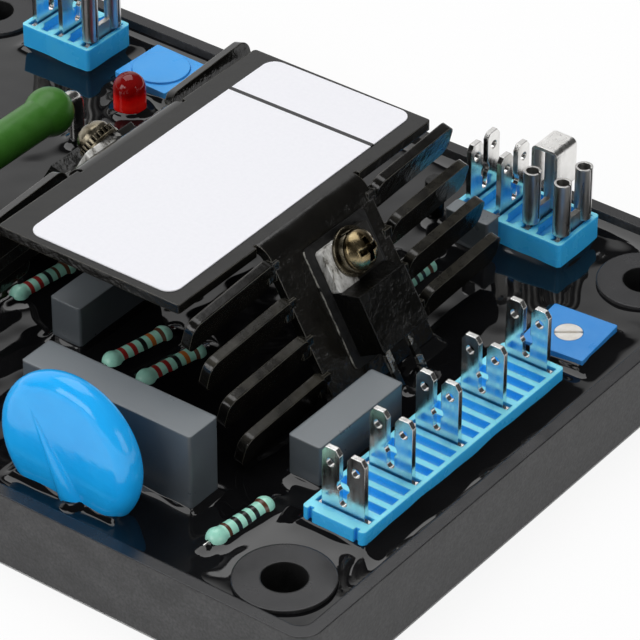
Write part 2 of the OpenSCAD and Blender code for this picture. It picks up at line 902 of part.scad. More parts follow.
module ring(d, h) {
  difference() {
    cylinder(d = d, h = h);
    translate([0, 0, -1]) cylinder(d = screw_d, h = h + 2);
  }
}

module front_flat_washer() {
  color([0.75, 0.75, 0.73]) at_front(pad_t + dev_tab_t) ring(flat_d, flat_t);
}

module rear_flat_washer() {
  color([0.75, 0.75, 0.73]) at_back(pad_t + dev_tab_t) ring(rear_flat_d, flat_t);
}

module front_washer() {
  color([0.6, 0.6, 0.58])
  at_front(pad_t + dev_tab_t + flat_t) difference() {
    ring(washer_d, washer_t);
    rotate([0, 0, 200]) translate([washer_d / 2, 0, washer_t / 2]) rotate([35, 0, 0])
      cube([washer_d, washer_split, 3 * washer_t], center = true);
  }
}

module rear_screw() {
  color([0.66, 0.66, 0.64])
  at_back(-sheet_t - nut_side) screw(clamp_l + sheet_t + nut_side, rear_head_d);
}

module rear_washer() {
  color([0.66, 0.66, 0.64])
  at_back(pad_t + dev_tab_t + flat_t) difference() {
    ring(tooth_d, washer_t);
    for (i = [0:tooth_n - 1]) rotate([0, 0, i * 360 / tooth_n]) translate([tooth_d / 2, 0, washer_t / 2])
      cube([2 * tooth_cut, tooth_w, 2 * washer_t], center = true);
  }
}

tray();
potting();
heat_sink();
label();
strip_block();
strip_terminal(0);  // strip_terminal_1
strip_terminal(1);  // strip_terminal_2
strip_terminal(2);  // strip_terminal_3
strip_terminal(3);  // strip_terminal_4
strip_terminal(4);  // strip_terminal_5
rear_block();
at_rear(rear_x0, 0) blade_terminal();  // rear_blade_1
at_rear(rear_x0, 1) blade_terminal();  // rear_blade_2
at_rear(rear_x0, 2) socket_terminal(link_rise);  // rear_socket_1
at_rear(rear_x0, 3) socket_terminal();  // rear_socket_2
socket_link();
corner_block();
at_rear(corner_x0, 0) blade_terminal();  // corner_blade_1
at_rear(corner_x0, 1) blade_terminal();  // corner_blade_2
at_rear(corner_x0, 2) socket_terminal();  // corner_socket
trimmer_front_body();
trimmer_front_rotor();
trimmer_rear_body();
trimmer_rear_dial();
indicator();
power_resistor();
power_resistor_leads();
capacitor_large();
capacitor_front();
capacitor_mid();
capacitor_rear();
varistor();
resistor(0);  // resistor_1
resistor(1);  // resistor_2
resistor(2);  // resistor_3
resistor(3);  // resistor_4
resistor(4);  // resistor_5
resistor(5);  // resistor_6
resistor_leads();
sleeve_component();
device_pad();
device_tab();
device_body();
device_legs();
front_screw();
front_washer();
front_flat_washer();
rear_device_pad();
rear_device_tab();
rear_device_body();
rear_device_legs();
rear_screw();
rear_washer();
rear_flat_washer();
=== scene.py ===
import math

import bpy
import numpy as np
from mathutils import Matrix, Vector


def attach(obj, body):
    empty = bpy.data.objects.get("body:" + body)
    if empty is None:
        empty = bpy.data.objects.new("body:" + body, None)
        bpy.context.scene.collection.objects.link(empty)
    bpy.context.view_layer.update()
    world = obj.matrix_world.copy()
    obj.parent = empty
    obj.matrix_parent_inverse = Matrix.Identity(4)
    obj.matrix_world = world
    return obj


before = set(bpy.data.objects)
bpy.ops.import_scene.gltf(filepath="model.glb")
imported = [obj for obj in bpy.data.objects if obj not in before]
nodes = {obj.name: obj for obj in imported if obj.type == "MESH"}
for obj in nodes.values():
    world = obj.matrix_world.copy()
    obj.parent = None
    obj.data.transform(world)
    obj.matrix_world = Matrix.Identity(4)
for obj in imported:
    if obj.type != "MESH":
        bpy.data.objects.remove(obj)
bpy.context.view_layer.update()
MM = 0.001

# Plan of the tray in millimetres from its middle: outer and inner half sizes, bosses, radii where the
# painted shade in the bores fades out
TRAY_HALF = (70.6, 51.25)
WALL_HALF = (68.6, 49.25)
BOSS_AT = (59.3, 40.95)
BOSS_R = 6.8
BORE_PAINTED_SHADE = (3.15, 3.2)
# Banded resistors: middle x and y in millimetres, and turn in degrees
RES_AT = [(48.0, -35.5, 6), (13.55, -14.0, 11), (19.7, -14.35, 11), (-6.85, -9.65, 7), (27.8, 19.05, 0),
          (33.8, 20.65, -3)]
RES_HALF = 5.7
# Legs of the two devices where they enter the potting
LEGS_AT = [(47.7, 0.36), (47.7, 5.44), (-16.2, -0.74), (-16.2, 4.34)]
# What the potting wets: outline, height of the climb and reach of the rim, in millimetres
WETTED = [
    ("box", (59.15, -8.28, 9.9, 44.84), 1.2, 1.25),  # long strip
    ("box", (39.22, 40.95, 18.04, 9.9), 0.5, 0.7),  # rear block
    ("box", (-42.92, 40.95, 12.96, 9.9), 0.5, 0.7),  # corner block
    ("box", (59.0, 22.6, 9.8, 9.8, 4.7), 1.25, 0.8),  # front trimmer
    ("box", (-27.0, 41.5, 9.8, 9.8, -2.0), 0.9, 0.8),  # rear trimmer
    ("box", (27.5, -34.5, 28, 5.7), 0.7, 0.6),  # large capacitor
    ("box", (49.3, -14.7, 5.2, 18), 0.75, 0.8),  # front capacitor
    ("box", (4.9, -9.6, 5.2, 18), 0.75, 0.8),  # middle capacitor
    ("box", (34.8, 34.0, 7.2, 3.0), 0.6, 0.6),  # rear capacitor
    ("box", (26.45, -42.85, 17.2, 4.5), 0.75, 0.5),  # varistor
    ("disc", (28.3, -45.3, 2.4), 0.75, 0.5),  # foot of the groove in the varistor
    ("disc", (-25.5, 32.3, 4.9), 0.7, 0.6),  # indicator
    ("disc", (26.6, 36.4, 2.8), 0.6, 0.6),  # sleeved cylinder
    ("disc", (-26.2, 21.1, 2.2), 0.7, 0.6),  # power resistor's wires
    ("disc", (-26.2, -10.1, 2.2), 0.7, 0.6),
    ("box", (43.92, 1.4, 1.6, 21.4), 0.8, 0.55),  # feet of the heat sink's webs
    ("box", (-12.42, 1.4, 1.6, 21.4), 0.8, 0.55),
]
WETTED += [("disc", (x, y, 0.9), 0.6, 0.5) for x, y in LEGS_AT]
for at_turn in RES_AT:
    WETTED += [("rod", (*at_turn, 4.4, 2.3), 0.55, 0.6), ("rod", (*at_turn, 6.9, 0.6), 0.6, 0.55)]


def feed(tree, socket, value):
    """Give a socket a number, a colour or a link; None leaves it as it is."""
    if isinstance(value, (int, float)):
        socket.default_value = value
    elif isinstance(value, tuple):
        socket.default_value = (*value, 1.0)
    elif value is not None:
        tree.links.new(value, socket)


def math_node(tree, kind, a, b=None, clamp=False):
    node = tree.nodes.new("ShaderNodeMath")
    node.operation = kind
    node.use_clamp = clamp
    for socket, value in zip(node.inputs, (a, b)):
        feed(tree, socket, value)
    return node.outputs["Value"]


class Shade:
    """A material with a Principled shader and short ways to add nodes to it."""

    def __init__(self, name, base, rough, metal=0.0, **sockets):
        self.mat = bpy.data.materials.new(name)
        self.mat.use_nodes = True
        self.tree = self.mat.node_tree
        self.bsdf = self.tree.nodes["Principled BSDF"]
        self.set("Base Color", (*base, 1.0))
        self.set("Roughness", rough)
        self.set("Metallic", metal)
        for key, value in sockets.items():
            self.set(key.replace("_", " "), value)
        self._coord = None

    def set(self, socket, value):
        self.bsdf.inputs[socket].default_value = value

    def add(self, kind, **props):
        node = self.tree.nodes.new(kind)
        for key, value in props.items():
            setattr(node, key, value)
        return node

    def link(self, out, into):
        self.tree.links.new(out, into)

    def coord(self, scale=(1, 1, 1), rot=(0, 0, 0)):
        if self._coord is None:
            self._coord = self.add("ShaderNodeTexCoord").outputs["Object"]
        if tuple(scale) == (1, 1, 1) and tuple(rot) == (0, 0, 0):
            return self._coord
        mapping = self.add("ShaderNodeMapping")
        mapping.inputs["Scale"].default_value = scale
        mapping.inputs["Rotation"].default_value = rot
        self.link(self._coord, mapping.inputs["Vector"])
        return mapping.outputs["Vector"]

    def noise(self, scale, detail=3.0, rough=0.55, stretch=(1, 1, 1)):
        node = self.add("ShaderNodeTexNoise")
        node.inputs["Scale"].default_value = scale
        node.inputs["Detail"].default_value = detail
        node.inputs["Roughness"].default_value = rough
        self.link(self.coord(stretch), node.inputs["Vector"])
        return node.outputs["Fac"]

    def place(self, axis, rot=(0, 0, 0)):
        """One coordinate of the point, in metres."""
        parts = self.add("ShaderNodeSeparateXYZ")
        self.link(self.coord(rot=rot), parts.inputs["Vector"])
        return parts.outputs[axis]

    def facing(self, axis):
        """One component of the surface normal."""
        parts = self.add("ShaderNodeSeparateXYZ")
        self.link(self.add("ShaderNodeNewGeometry").outputs["Normal"], parts.inputs["Vector"])
        return parts.outputs[axis]

    def open_sky(self, reach):
        """1 in the open and less in recesses that are closed in within reach metres."""
        node = self.add("ShaderNodeAmbientOcclusion", samples=6)
        node.inputs["Distance"].default_value = reach
        return node.outputs["AO"]

    def ramp(self, fac, stops):
        node = self.add("ShaderNodeValToRGB")
        ramp = node.color_ramp
        while len(ramp.elements) < len(stops):
            ramp.elements.new(0.5)
        for element, (pos, colour) in zip(ramp.elements, stops):
            element.position = pos
            element.color = (*colour, 1.0)
        self.link(fac, node.inputs["Fac"])
        return node.outputs["Color"]

    def spread(self, fac, low, high, start=0.3, end=0.7):
        node = self.add("ShaderNodeMapRange")
        node.inputs["From Min"].default_value = start
        node.inputs["From Max"].default_value = end
        node.inputs["To Min"].default_value = low
        node.inputs["To Max"].default_value = high
        self.link(fac, node.inputs["Value"])
        return node.outputs["Result"]

    def math(self, kind, a, b=None):
        return math_node(self.tree, kind, a, b)

    def mix(self, fac, a, b):
        node = self.add("ShaderNodeMix", data_type="RGBA")
        for index, value in ((0, fac), (6, a), (7, b)):
            feed(self.tree, node.inputs[index], value)
        return node.outputs[2]

    def scaled(self, colour, fac):
        node = self.add("ShaderNodeVectorMath", operation="SCALE")
        self.link(colour, node.inputs[0])
        self.link(fac, node.inputs["Scale"])
        return node.outputs["Vector"]

    def colour(self, out):
        self.link(out, self.bsdf.inputs["Base Color"])

    def rough(self, out):
        self.link(out, self.bsdf.inputs["Roughness"])

    def surface(self, bumps=(), edge=0.0):
        """Round the edges by edge metres and add bumps of (height, depth in metres)."""
        normal = None
        if edge:
            node = self.add("ShaderNodeBevel", samples=6)
            node.inputs["Radius"].default_value = edge
            normal = node.outputs["Normal"]
        for height, depth in bumps:
            node = self.add("ShaderNodeBump")
            node.inputs["Strength"].default_value = 1.0
            node.inputs["Distance"].default_value = depth
            self.link(height, node.inputs["Height"])
            if normal is not None:
                self.link(normal, node.inputs["Normal"])
            normal = node.outputs["Normal"]
        if normal is not None:
            self.link(normal, self.bsdf.inputs["Normal"])
        return self.mat


def tray_plastic():
    """Moulded plastic: tops smooth and polished, walls paler with a fine scuffed texture, painted shade in
    the bores.
    """
    s = Shade("tray_plastic", (0.05, 0.05, 0.052), 0.5, Specular_IOR_Level=0.42)
    grain = s.noise(2300, 2)
    scuff = s.noise(190, 5, 0.62, stretch=(1, 1, 1.6))
    walls = s.mix(s.spread(scuff, 0.0, 1.0, 0.36, 0.68), (0.03, 0.03, 0.031), (0.058, 0.058, 0.059))
    tops = s.mix(s.spread(scuff, 0.0, 1.0), (0.011, 0.011, 0.0125), (0.017, 0.017, 0.019))
    level = s.spread(s.facing("Z"), 0.0, 1.0, 0.5, 0.9)
    off_x, off_y = (s.math("SUBTRACT", s.math("ABSOLUTE", s.place(axis)), middle * MM)
                    for axis, middle in zip("XY", BOSS_AT))
    from_hole = s.math("SQRT", s.math("ADD", s.math("POWER", off_x, 2.0), s.math("POWER", off_y, 2.0)))
    # Painted shade: the colour falls to a tenth inside the bores
    shade = s.spread(from_hole, 0.1, 1.0, BORE_PAINTED_SHADE[0] * MM, BORE_PAINTED_SHADE[1] * MM)
    s.colour(s.scaled(s.mix(level, s.scaled(walls, s.spread(grain, 0.75, 1.25)), tops), shade))
    polish, smoothing = 0.36, 0.93
    s.rough(s.math("SUBTRACT", s.spread(scuff, 0.52, 0.66), s.math("MULTIPLY", level, polish)))
    bump = s.math("MULTIPLY", grain, s.math("SUBTRACT", 1.0, s.math("MULTIPLY", level, smoothing)))
    return s.surface([(bump, 0.00006)], edge=0.35 * MM)


def potting_gloss():
    s = Shade("potting_gloss", (0.004, 0.004, 0.0045), 0.03, IOR=1.48)
    s.rough(s.spread(s.noise(900, 4), 0.015, 0.05))
    s.colour(s.ramp(s.noise(90, 2), [(0.3, (0.003, 0.003, 0.0034)), (0.7, (0.005, 0.005, 0.0056))]))
    return s.surface()


def sink_black():
    """Black paint with runs on the slopes, dust on the finger edges, and paler, browner sheet edges from
    thinner paint and a painted highlight.
    """
    s = Shade("sink_black", (0.006, 0.006, 0.006), 0.16)
    dust_top = 28.8 * MM
    dusty, bare = (0.042, 0.039, 0.031), (0.15, 0.14, 0.112)
    # The bevel finds the sheet edges, which get a paler, browner colour: thinner paint there, and a painted
    # highlight
    edge_bevel = s.add("ShaderNodeBevel", samples=6)
    edge_bevel.inputs["Radius"].default_value = 0.22 * MM
    turned = s.add("ShaderNodeVectorMath", operation="DOT_PRODUCT")
    s.link(edge_bevel.outputs["Normal"], turned.inputs[0])
    s.link(s.add("ShaderNodeNewGeometry").outputs["Normal"], turned.inputs[1])
    edges = s.spread(turned.outputs["Value"], 1.0, 0.0, 0.8, 0.97)
    edge_wear_and_highlight = s.math("MULTIPLY", edges, s.spread(s.noise(350, 4), 0.15, 1.0))
    coat = s.ramp(s.noise(300, 3), [(0.3, (0.003, 0.0028, 0.0022)), (0.7, (0.0065, 0.006, 0.005))])
    upward = s.spread(s.facing("Z"), 0.0, 1.0, 0.45, 0.85)
    lying = s.math("MULTIPLY", upward, s.math("LESS_THAN", s.place("Z"), dust_top))
    dust = s.math("MULTIPLY", lying, s.spread(s.noise(280, 5, 0.65), 0.1, 1.0, 0.34, 0.7))
    s.colour(s.mix(edge_wear_and_highlight, s.mix(dust, coat, dusty), bare))
    s.rough(s.spread(s.noise(160, 4), 0.1, 0.24))
    steep = s.spread(s.facing("Z"), 1.0, 0.1, 0.5, 0.9)
    runs = s.math("MULTIPLY", s.noise(380, 4, 0.6), steep)
    return s.surface([(runs, 0.00022)], edge=0.3 * MM)


def label_white():
    """White film label with one plain dark rule across it."""
    s = Shade("label_white", (0.86, 0.86, 0.9), 0.38, Specular_IOR_Level=0.4)
    label_turn, rule_at, rule_half = math.radians(-0.5), 18.7 * MM, 0.36 * MM
    fibre = s.noise(1800, 3)
    film = s.ramp(fibre, [(0.2, (0.84, 0.84, 0.885)), (0.8, (0.88, 0.88, 0.92))])
    off = s.math("ABSOLUTE", s.math("SUBTRACT", s.place("Y", rot=(0, 0, label_turn)), rule_at))
    s.colour(s.mix(s.math("LESS_THAN", off, rule_half), film, (0.03, 0.03, 0.032)))
    s.rough(s.spread(fibre, 0.32, 0.46))
    return s.surface([(fibre, 0.000012)])


def block_blue():
    """Bright blue plastic with painted light: paler on its open top faces, with painted shade keeping the
    grooves deeper.
    """
    s = Shade("block_blue", (0.07, 0.53, 0.96), 0.28, Specular_IOR_Level=0.45, Subsurface_Weight=0.2,
              Subsurface_Radius=(0.3, 0.7, 1.0), Subsurface_Scale=0.0012)
    cloud = s.noise(240, 3)
    body = s.ramp(cloud, [(0.3, (0.036, 0.465, 0.98)), (0.7, (0.058, 0.525, 1.0))])
    # Painted light: top faces turn pale blue, except where the AO finds grooves, which keep a painted shade
    top = s.spread(s.facing("Z"), 0.0, 1.0, 0.6, 0.98)
    clear = s.spread(s.open_sky(1.6 * MM), 0.0, 1.0, 0.55, 0.9)
    s.colour(s.mix(s.math("MULTIPLY", top, clear), body, (0.25, 0.8, 1.0)))
    s.rough(s.spread(cloud, 0.2, 0.34))
    return s.surface([(s.noise(1500, 2), 0.000015)], edge=0.4 * MM)


def tin_plate(name, smooth, coarse, tone):
    """Brushed tin with roughness from smooth to coarse, its brightness multiplied by tone."""
    s = Shade(name, (0.8 * tone, 0.79 * tone, 0.77 * tone), smooth, 1.0)
    brushed = s.noise(1400, 3, stretch=(1, 1, 0.12))
    dull, clean = (0.72, 0.71, 0.69), (0.86, 0.85, 0.83)
    stops = [(0.3, tuple(v * tone for v in dull)), (0.7, tuple(v * tone for v in clean))]
    s.colour(s.ramp(s.noise(350, 3), stops))
    s.rough(s.spread(brushed, smooth, coarse))
    return s.surface([(brushed, 0.00001)], edge=0.14 * MM)


def trimmer_blue(name, base):
    s = Shade(name, base, 0.34, Specular_IOR_Level=0.4)
    cloud = s.noise(300, 3)
    s.colour(s.mix(s.spread(cloud, 0.0, 0.16), base, (0.2, 0.5, 0.9)))
    s.rough(s.spread(cloud, 0.26, 0.4))
    return s.surface([(s.noise(2200, 2), 0.00001)], edge=0.2 * MM)


def rotor_white():
    s = Shade("rotor_white", (0.78, 0.75, 0.7), 0.45)
    cloud = s.noise(900, 3)
    s.colour(s.ramp(cloud, [(0.3, (0.7, 0.66, 0.6)), (0.7, (0.84, 0.82, 0.78))]))
    return s.surface([(cloud, 0.00001)], edge=0.1 * MM)


def lens_red():
    """Clear red lens with light and shade painted by height: dark in the dome, a painted glow low down where
    the light gathers, painted black at the foot.
    """
    s = Shade("lens_red", (0.55, 0.004, 0.003), 0.06, IOR=1.5, Specular_IOR_Level=0.4)
    foot, top, swirl_size = 9.1 * MM, 15.5 * MM, 0.0016
    swirl = s.math("MULTIPLY", s.math("SUBTRACT", s.noise(420, 2), 0.5), swirl_size)
    fac = s.spread(s.math("ADD", s.place("Z"), swirl), 0.0, 1.0, foot, top)
    # Painted light and shade up the lens: black foot, bright red glow low down, dark dome
    s.colour(s.ramp(fac, [(0.06, (0.03, 0.001, 0.001)), (0.15, (0.9, 0.006, 0.004)),
                          (0.32, (1.0, 0.02, 0.012)), (0.48, (0.85, 0.003, 0.003)),
                          (0.64, (0.3, 0.002, 0.002)), (1.0, (0.14, 0.004, 0.004))]))
    return s.surface([(s.noise(500, 1), 0.000008)])


def resistor_green():
    s = Shade("resistor_green", (0.04, 0.15, 0.016), 0.32, Specular_IOR_Level=0.3)
    mottle = s.noise(500, 4)
    s.colour(s.ramp(mottle, [(0.25, (0.034, 0.14, 0.014)), (0.75, (0.054, 0.195, 0.026))]))
    s.rough(s.spread(mottle, 0.26, 0.42))
    return s.surface([(s.noise(900, 3), 0.00004)], edge=0.6 * MM)


def wire_tin():
    s = Shade("wire_tin", (0.6, 0.59, 0.57), 0.22, 1.0)
    cloud = s.noise(700, 3)
    s.colour(s.ramp(cloud, [(0.3, (0.5, 0.49, 0.47)), (0.7, (0.72, 0.71, 0.69))]))
    s.rough(s.spread(cloud, 0.16, 0.32))
    return s.surface([(cloud, 0.000015)])


def box_grey():
    """Satin grey case, with a painted sheen that makes its top faces paler."""
    s = Shade("box_grey", (0.09, 0.1, 0.11), 0.3, Specular_IOR_Level=0.7)
    cloud = s.noise(200, 3)
    case = s.ramp(cloud, [(0.3, (0.066, 0.076, 0.085)), (0.7, (0.078, 0.09, 0.1))])
    # Painted sheen: faces that look up are mixed to a paler grey
    s.colour(s.mix(s.spread(s.facing("Z"), 0.0, 1.0, 0.5, 0.95), case, (0.15, 0.168, 0.182)))
    s.rough(s.spread(cloud, 0.27, 0.35))
    return s.surface(edge=0.4 * MM)


def varistor_blue():
    s = Shade("varistor_blue", (0.012, 0.4, 0.93), 0.12)
    cloud = s.noise(160, 3)
    s.colour(s.ramp(cloud, [(0.3, (0.01, 0.38, 0.9)), (0.7, (0.016, 0.43, 0.96))]))
    s.rough(s.spread(s.noise(500, 3), 0.07, 0.18))
    return s.surface([(cloud, 0.00012)], edge=0.5 * MM)


def moulded_black():
    """Black moulding with a fine grain under uneven lacquer."""
    s = Shade("moulded_black", (0.003, 0.003, 0.0026), 0.3, Specular_IOR_Level=0.3)
    grain = s.noise(1900, 3)
    s.colour(s.ramp(grain, [(0.3, (0.0015, 0.0015, 0.0012)), (0.7, (0.004, 0.004, 0.0035))]))
    s.rough(s.spread(s.noise(240, 3), 0.12, 0.34))
    return s.surface([(s.noise(320, 4, 0.6), 0.00025), (grain, 0.00002)], edge=0.3 * MM)


def lacquered_wire():
    """Tinned leg run over with black lacquer and bare in patches."""
    s = Shade("lacquered_wire", (0.02, 0.02, 0.018), 0.25)
    bare = s.spread(s.noise(560, 4), 0.0, 1.0, 0.5, 0.58)
    s.colour(s.mix(bare, (0.007, 0.007, 0.006), (0.55, 0.54, 0.5)))
    s.link(bare, s.bsdf.inputs["Metallic"])
    s.rough(s.spread(s.noise(900, 3), 0.14, 0.34))
    return s.surface([(bare, 0.00003)])


def device_metal():
    """Plated tab, scratched and bare on one side and run over with black lacquer on the other."""
    metal, uneven = 0.4, 0.008
    s = Shade("device_metal", (0.74, 0.73, 0.7), 0.3, metal)
    smear = s.noise(420, 4)
    scratch = s.noise(900, 4, 0.7, stretch=(1, 1, 0.25))
    plate = s.ramp(scratch, [(0.36, (0.16, 0.15, 0.13)), (0.46, (0.6, 0.59, 0.56)),
                             (0.62, (0.9, 0.89, 0.86))])
    edge = s.math("ADD", s.place("Y"), s.math("MULTIPLY", s.math("SUBTRACT", smear, 0.5), uneven))
    run = s.spread(edge, 0.0, 1.0, 2.3 * MM, 2.8 * MM)
    s.colour(s.mix(run, plate, (0.008, 0.0075, 0.006)))
    s.link(s.math("SUBTRACT", metal, s.math("MULTIPLY", run, metal)), s.bsdf.inputs["Metallic"])
    s.rough(s.spread(smear, 0.26, 0.5))
    return s.surface([(smear, 0.00008), (scratch, 0.00002)], edge=0.25 * MM)


def pad_grey():
    """Dark insulating sheet with pale broken specks along its cut edge."""
    s = Shade("pad_grey", (0.012, 0.012, 0.013), 0.45, Specular_IOR_Level=0.3)
    grain = s.noise(1500, 3)
    sheet = s.ramp(grain, [(0.3, (0.006, 0.006, 0.006)), (0.7, (0.014, 0.014, 0.014))])
    cut = s.math("LESS_THAN", s.facing("Y"), -0.7)
    specks = s.math("MULTIPLY", cut, s.spread(s.noise(800, 4), 0.0, 1.0, 0.44, 0.56))
    s.colour(s.mix(specks, sheet, (0.45, 0.44, 0.4)))
    s.rough(s.spread(grain, 0.35, 0.55))
    return s.surface([(grain, 0.00002)])


def screw_brass():
    s = Shade("screw_brass", (0.4, 0.32, 0.19), 0.24, 1.0)
    tarnish = s.noise(600, 4)
    plating = s.ramp(tarnish, [(0.3, (0.13, 0.09, 0.04)), (0.7, (0.42, 0.34, 0.2))])
    # Painted shade: the plating darkens almost to black in recesses the AO finds
    s.colour(s.scaled(plating, s.spread(s.open_sky(1.2 * MM), 0.04, 1.0, 0.45, 0.92)))
    s.rough(s.spread(tarnish, 0.14, 0.34))
    return s.surface([(tarnish, 0.00005)], edge=0.3 * MM)


def screw_nickel():
    s = Shade("screw_nickel", (0.4, 0.36, 0.28), 0.24, 1.0)
    tarnish = s.noise(600, 4)
    plating = s.ramp(tarnish, [(0.3, (0.11, 0.09, 0.055)), (0.7, (0.36, 0.32, 0.24))])
    # Painted shade: the plating darkens almost to black in recesses the AO finds
    s.colour(s.scaled(plating, s.spread(s.open_sky(1.0 * MM), 0.05, 1.0, 0.4, 0.9)))
    s.rough(s.spread(tarnish, 0.16, 0.36))
    return s.surface([(tarnish, 0.00004)], edge=0.2 * MM)


def banded(name, centre, turn_deg, bands):
    """Pale enamel with bands of (place along the axis from -1 to 1, half width in millimetres, colour)."""
    s = Shade(name, (0.36, 0.74, 0.6), 0.32, Coat_Weight=0.2)
    cloud = s.noise(500, 3)
    out = s.ramp(cloud, [(0.3, (0.32, 0.7, 0.56)), (0.7, (0.4, 0.78, 0.64))])
    turn = math.radians(-turn_deg)
    axis = (-math.sin(turn), math.cos(turn), 0.0)
    dot = s.add("ShaderNodeVectorMath", operation="DOT_PRODUCT")
    s.link(s.coord(), dot.inputs[0])
    dot.inputs[1].default_value = axis
    mid = centre[0] * axis[0] + centre[1] * axis[1]
    along = s.math("SUBTRACT", dot.outputs["Value"], mid * MM)
    for place, width, colour in bands:
        off = s.math("ABSOLUTE", s.math("SUBTRACT", along, place * RES_HALF * MM))
        out = s.mix(s.math("LESS_THAN", off, width * MM), out, colour)
    s.colour(out)
    s.rough(s.spread(cloud, 0.26, 0.4))
    return s.surface([(s.noise(900, 3), 0.00002)], edge=0.3 * MM)


finish = {
    "tray": tray_plastic(), "potting": potting_gloss(), "heat_sink": sink_black(), "label": label_white(),
    "blue": block_blue(), "tin": tin_plate("tin_plate", 0.1, 0.26, 1.0),
    "trim": trimmer_blue("trimmer_blue", (0.024, 0.255, 0.7)),
    "dial": trimmer_blue("dial_blue", (0.045, 0.36, 0.85)), "rotor": rotor_white(), "led": lens_red(),
    "pr": resistor_green(), "wire": wire_tin(), "cap": box_grey(), "var": varistor_blue(),
    "black": moulded_black(), "tab": device_metal(), "pad": pad_grey(), "brass": screw_brass(),
    "nickel": screw_nickel(), "socket": tin_plate("socket_tin", 0.26, 0.42, 0.72),
    "link": tin_plate("link_tin", 0.22, 0.4, 1.04), "leg": lacquered_wire(),
}
# Finish of each node; the blades, which are not named here, wear the plain tin
wears = {
    "tray": "tray", "potting": "potting", "heat_sink": "heat_sink", "label": "label",
    "strip_block": "blue", "rear_block": "blue", "corner_block": "blue", "socket_link": "link",
    "corner_socket": "socket", "rear_socket_1": "socket", "rear_socket_2": "socket",
    "trimmer_front_body": "trim", "trimmer_front_rotor": "rotor", "trimmer_rear_body": "dial",
    "trimmer_rear_dial": "dial", "indicator": "led", "power_resistor": "pr", "power_resistor_leads": "wire",
    "capacitor_large": "cap", "capacitor_front": "cap", "capacitor_mid": "cap", "capacitor_rear": "cap",
    "varistor": "var", "sleeve_component": "black", "resistor_leads": "wire",
    "device_pad": "pad", "device_tab": "tab", "device_body": "black", "device_legs": "leg",
    "front_screw": "brass", "front_washer": "nickel", "front_flat_washer": "nickel",
    "rear_device_pad": "pad", "rear_device_tab": "tab", "rear_device_body": "black",
    "rear_device_legs": "leg", "rear_screw": "nickel", "rear_washer": "nickel", "rear_flat_washer": "nickel",
}
BROWN, BLACK = (0.09, 0.03, 0.012), (0.01, 0.01, 0.01)
RED, ORANGE = (0.3, 0.015, 0.012), (0.5, 0.14, 0.02)
BAND_AT = [-0.49, -0.19, 0.1, 0.37, 0.66]
BAND_HALF, BROWN_HALF = 0.36, 0.27
band_sets = {
    "resistor_1": (RES_AT[0], [BROWN, BLACK, BLACK, BLACK, BROWN]),
    "resistor_2": (RES_AT[1], [RED, RED, BLACK, ORANGE, BROWN]),
    "resistor_3": (RES_AT[2], [RED, RED, BLACK, ORANGE, BROWN]),
    "resistor_4": (RES_AT[3], [RED, RED, BLACK, BROWN, BROWN]),
    "resistor_5": (RES_AT[4], [RED, RED, BLACK, BROWN, BROWN]),
    "resistor_6": (RES_AT[5], [RED, RED, BLACK, BLACK, BROWN]),
}


def paint(obj, material):
    obj.data.materials.clear()
    obj.data.materials.append(material)


for name, obj in nodes.items():
    if name in band_sets:
        (x, y, turn), colours = band_sets[name]
        bands = [(p, BROWN_HALF if c is BROWN else BAND_HALF, c) for p, c in zip(BAND_AT, colours)]
        paint(obj, banded("enamel_" + name, (x, y), turn, bands))
    else:
        paint(obj, finish[wears.get(name, "tin")])


class Footprints:
    """Distances in millimetres from points to the outlines that stand in the potting."""

    def __init__(self, x, y):
        self.x, self.y = x, y

    def box(self, cx, cy, lx, ly, turn=0.0):
        c, s = math.cos(math.radians(turn)), math.sin(math.radians(turn))
        u = np.abs((self.x - cx) * c + (self.y - cy) * s) - lx / 2
        v = np.abs((self.y - cy) * c - (self.x - cx) * s) - ly / 2
        return np.hypot(np.maximum(u, 0), np.maximum(v, 0))

    def disc(self, cx, cy, d):
        return np.maximum(np.hypot(self.x - cx, self.y - cy) - d / 2, 0)

    def rod(self, cx, cy, turn, half, d):
        c, s = math.cos(math.radians(-turn)), math.sin(math.radians(-turn))
        u = np.maximum(np.abs((self.y - cy) * c - (self.x - cx) * s) - half, 0)
        v = (self.x - cx) * c + (self.y - cy) * s
        return np.maximum(np.hypot(u, v) - d / 2, 0)


def ripple(x, y, lengths, seed):
    """Smooth random field of about unit size from waves of the given lengths in millimetres."""
    rng = np.random.default_rng(seed)
    waves_each = 5
    out = np.zeros_like(x)
    for length in lengths:
        for _ in range(waves_each):
            a, phase = rng.uniform(0, 2 * math.pi, 2)
            k = 2 * math.pi / (length * rng.uniform(0.75, 1.3))
            out += np.sin(k * (x * math.cos(a) + y * math.sin(a)) + phase)
    return out / math.sqrt(waves_each / 2 * len(lengths))


def from_boss(x, y):
    """Distance in millimetres to the axis of the nearest boss."""
    return np.hypot(np.abs(x) - BOSS_AT[0], np.abs(y) - BOSS_AT[1])


def potting_heights(x, y):
    """Height of the potting surface: level with slow waves, drawn up where it wets the walls and parts."""
    level, lowest = 9.25, 9.12
    wall_climb, wall_reach = 0.75, 0.6
    dip_depth, dip_reach = 0.13, 1.1
    calm_reach, calm_least = 4.0, 0.2
    at = Footprints(x, y)
    wet = 1.0 + 0.13 * ripple(x, y, (6.0, 12.0), 4)
    rise = sum((climb * np.exp(-getattr(at, kind)(*outline) / reach) * wet) ** 3
               for kind, outline, climb, reach in WETTED)
    walls = np.minimum(WALL_HALF[0] - np.abs(x), WALL_HALF[1] - np.abs(y))
    rise += (wall_climb * np.exp(-np.maximum(walls, 0) / wall_reach)) ** 3
    dip = dip_depth * np.exp(-np.maximum(from_boss(x, y) - BOSS_R, 0) / dip_reach)
    calm = np.clip(walls / calm_reach, calm_least, 1.0)
    waves = calm * (0.05 * ripple(x, y, (11.0, 22.0), 11) + 0.009 * ripple(x, y, (5.0,), 19))
    return np.maximum(level + np.cbrt(rise) + waves - dip, lowest)


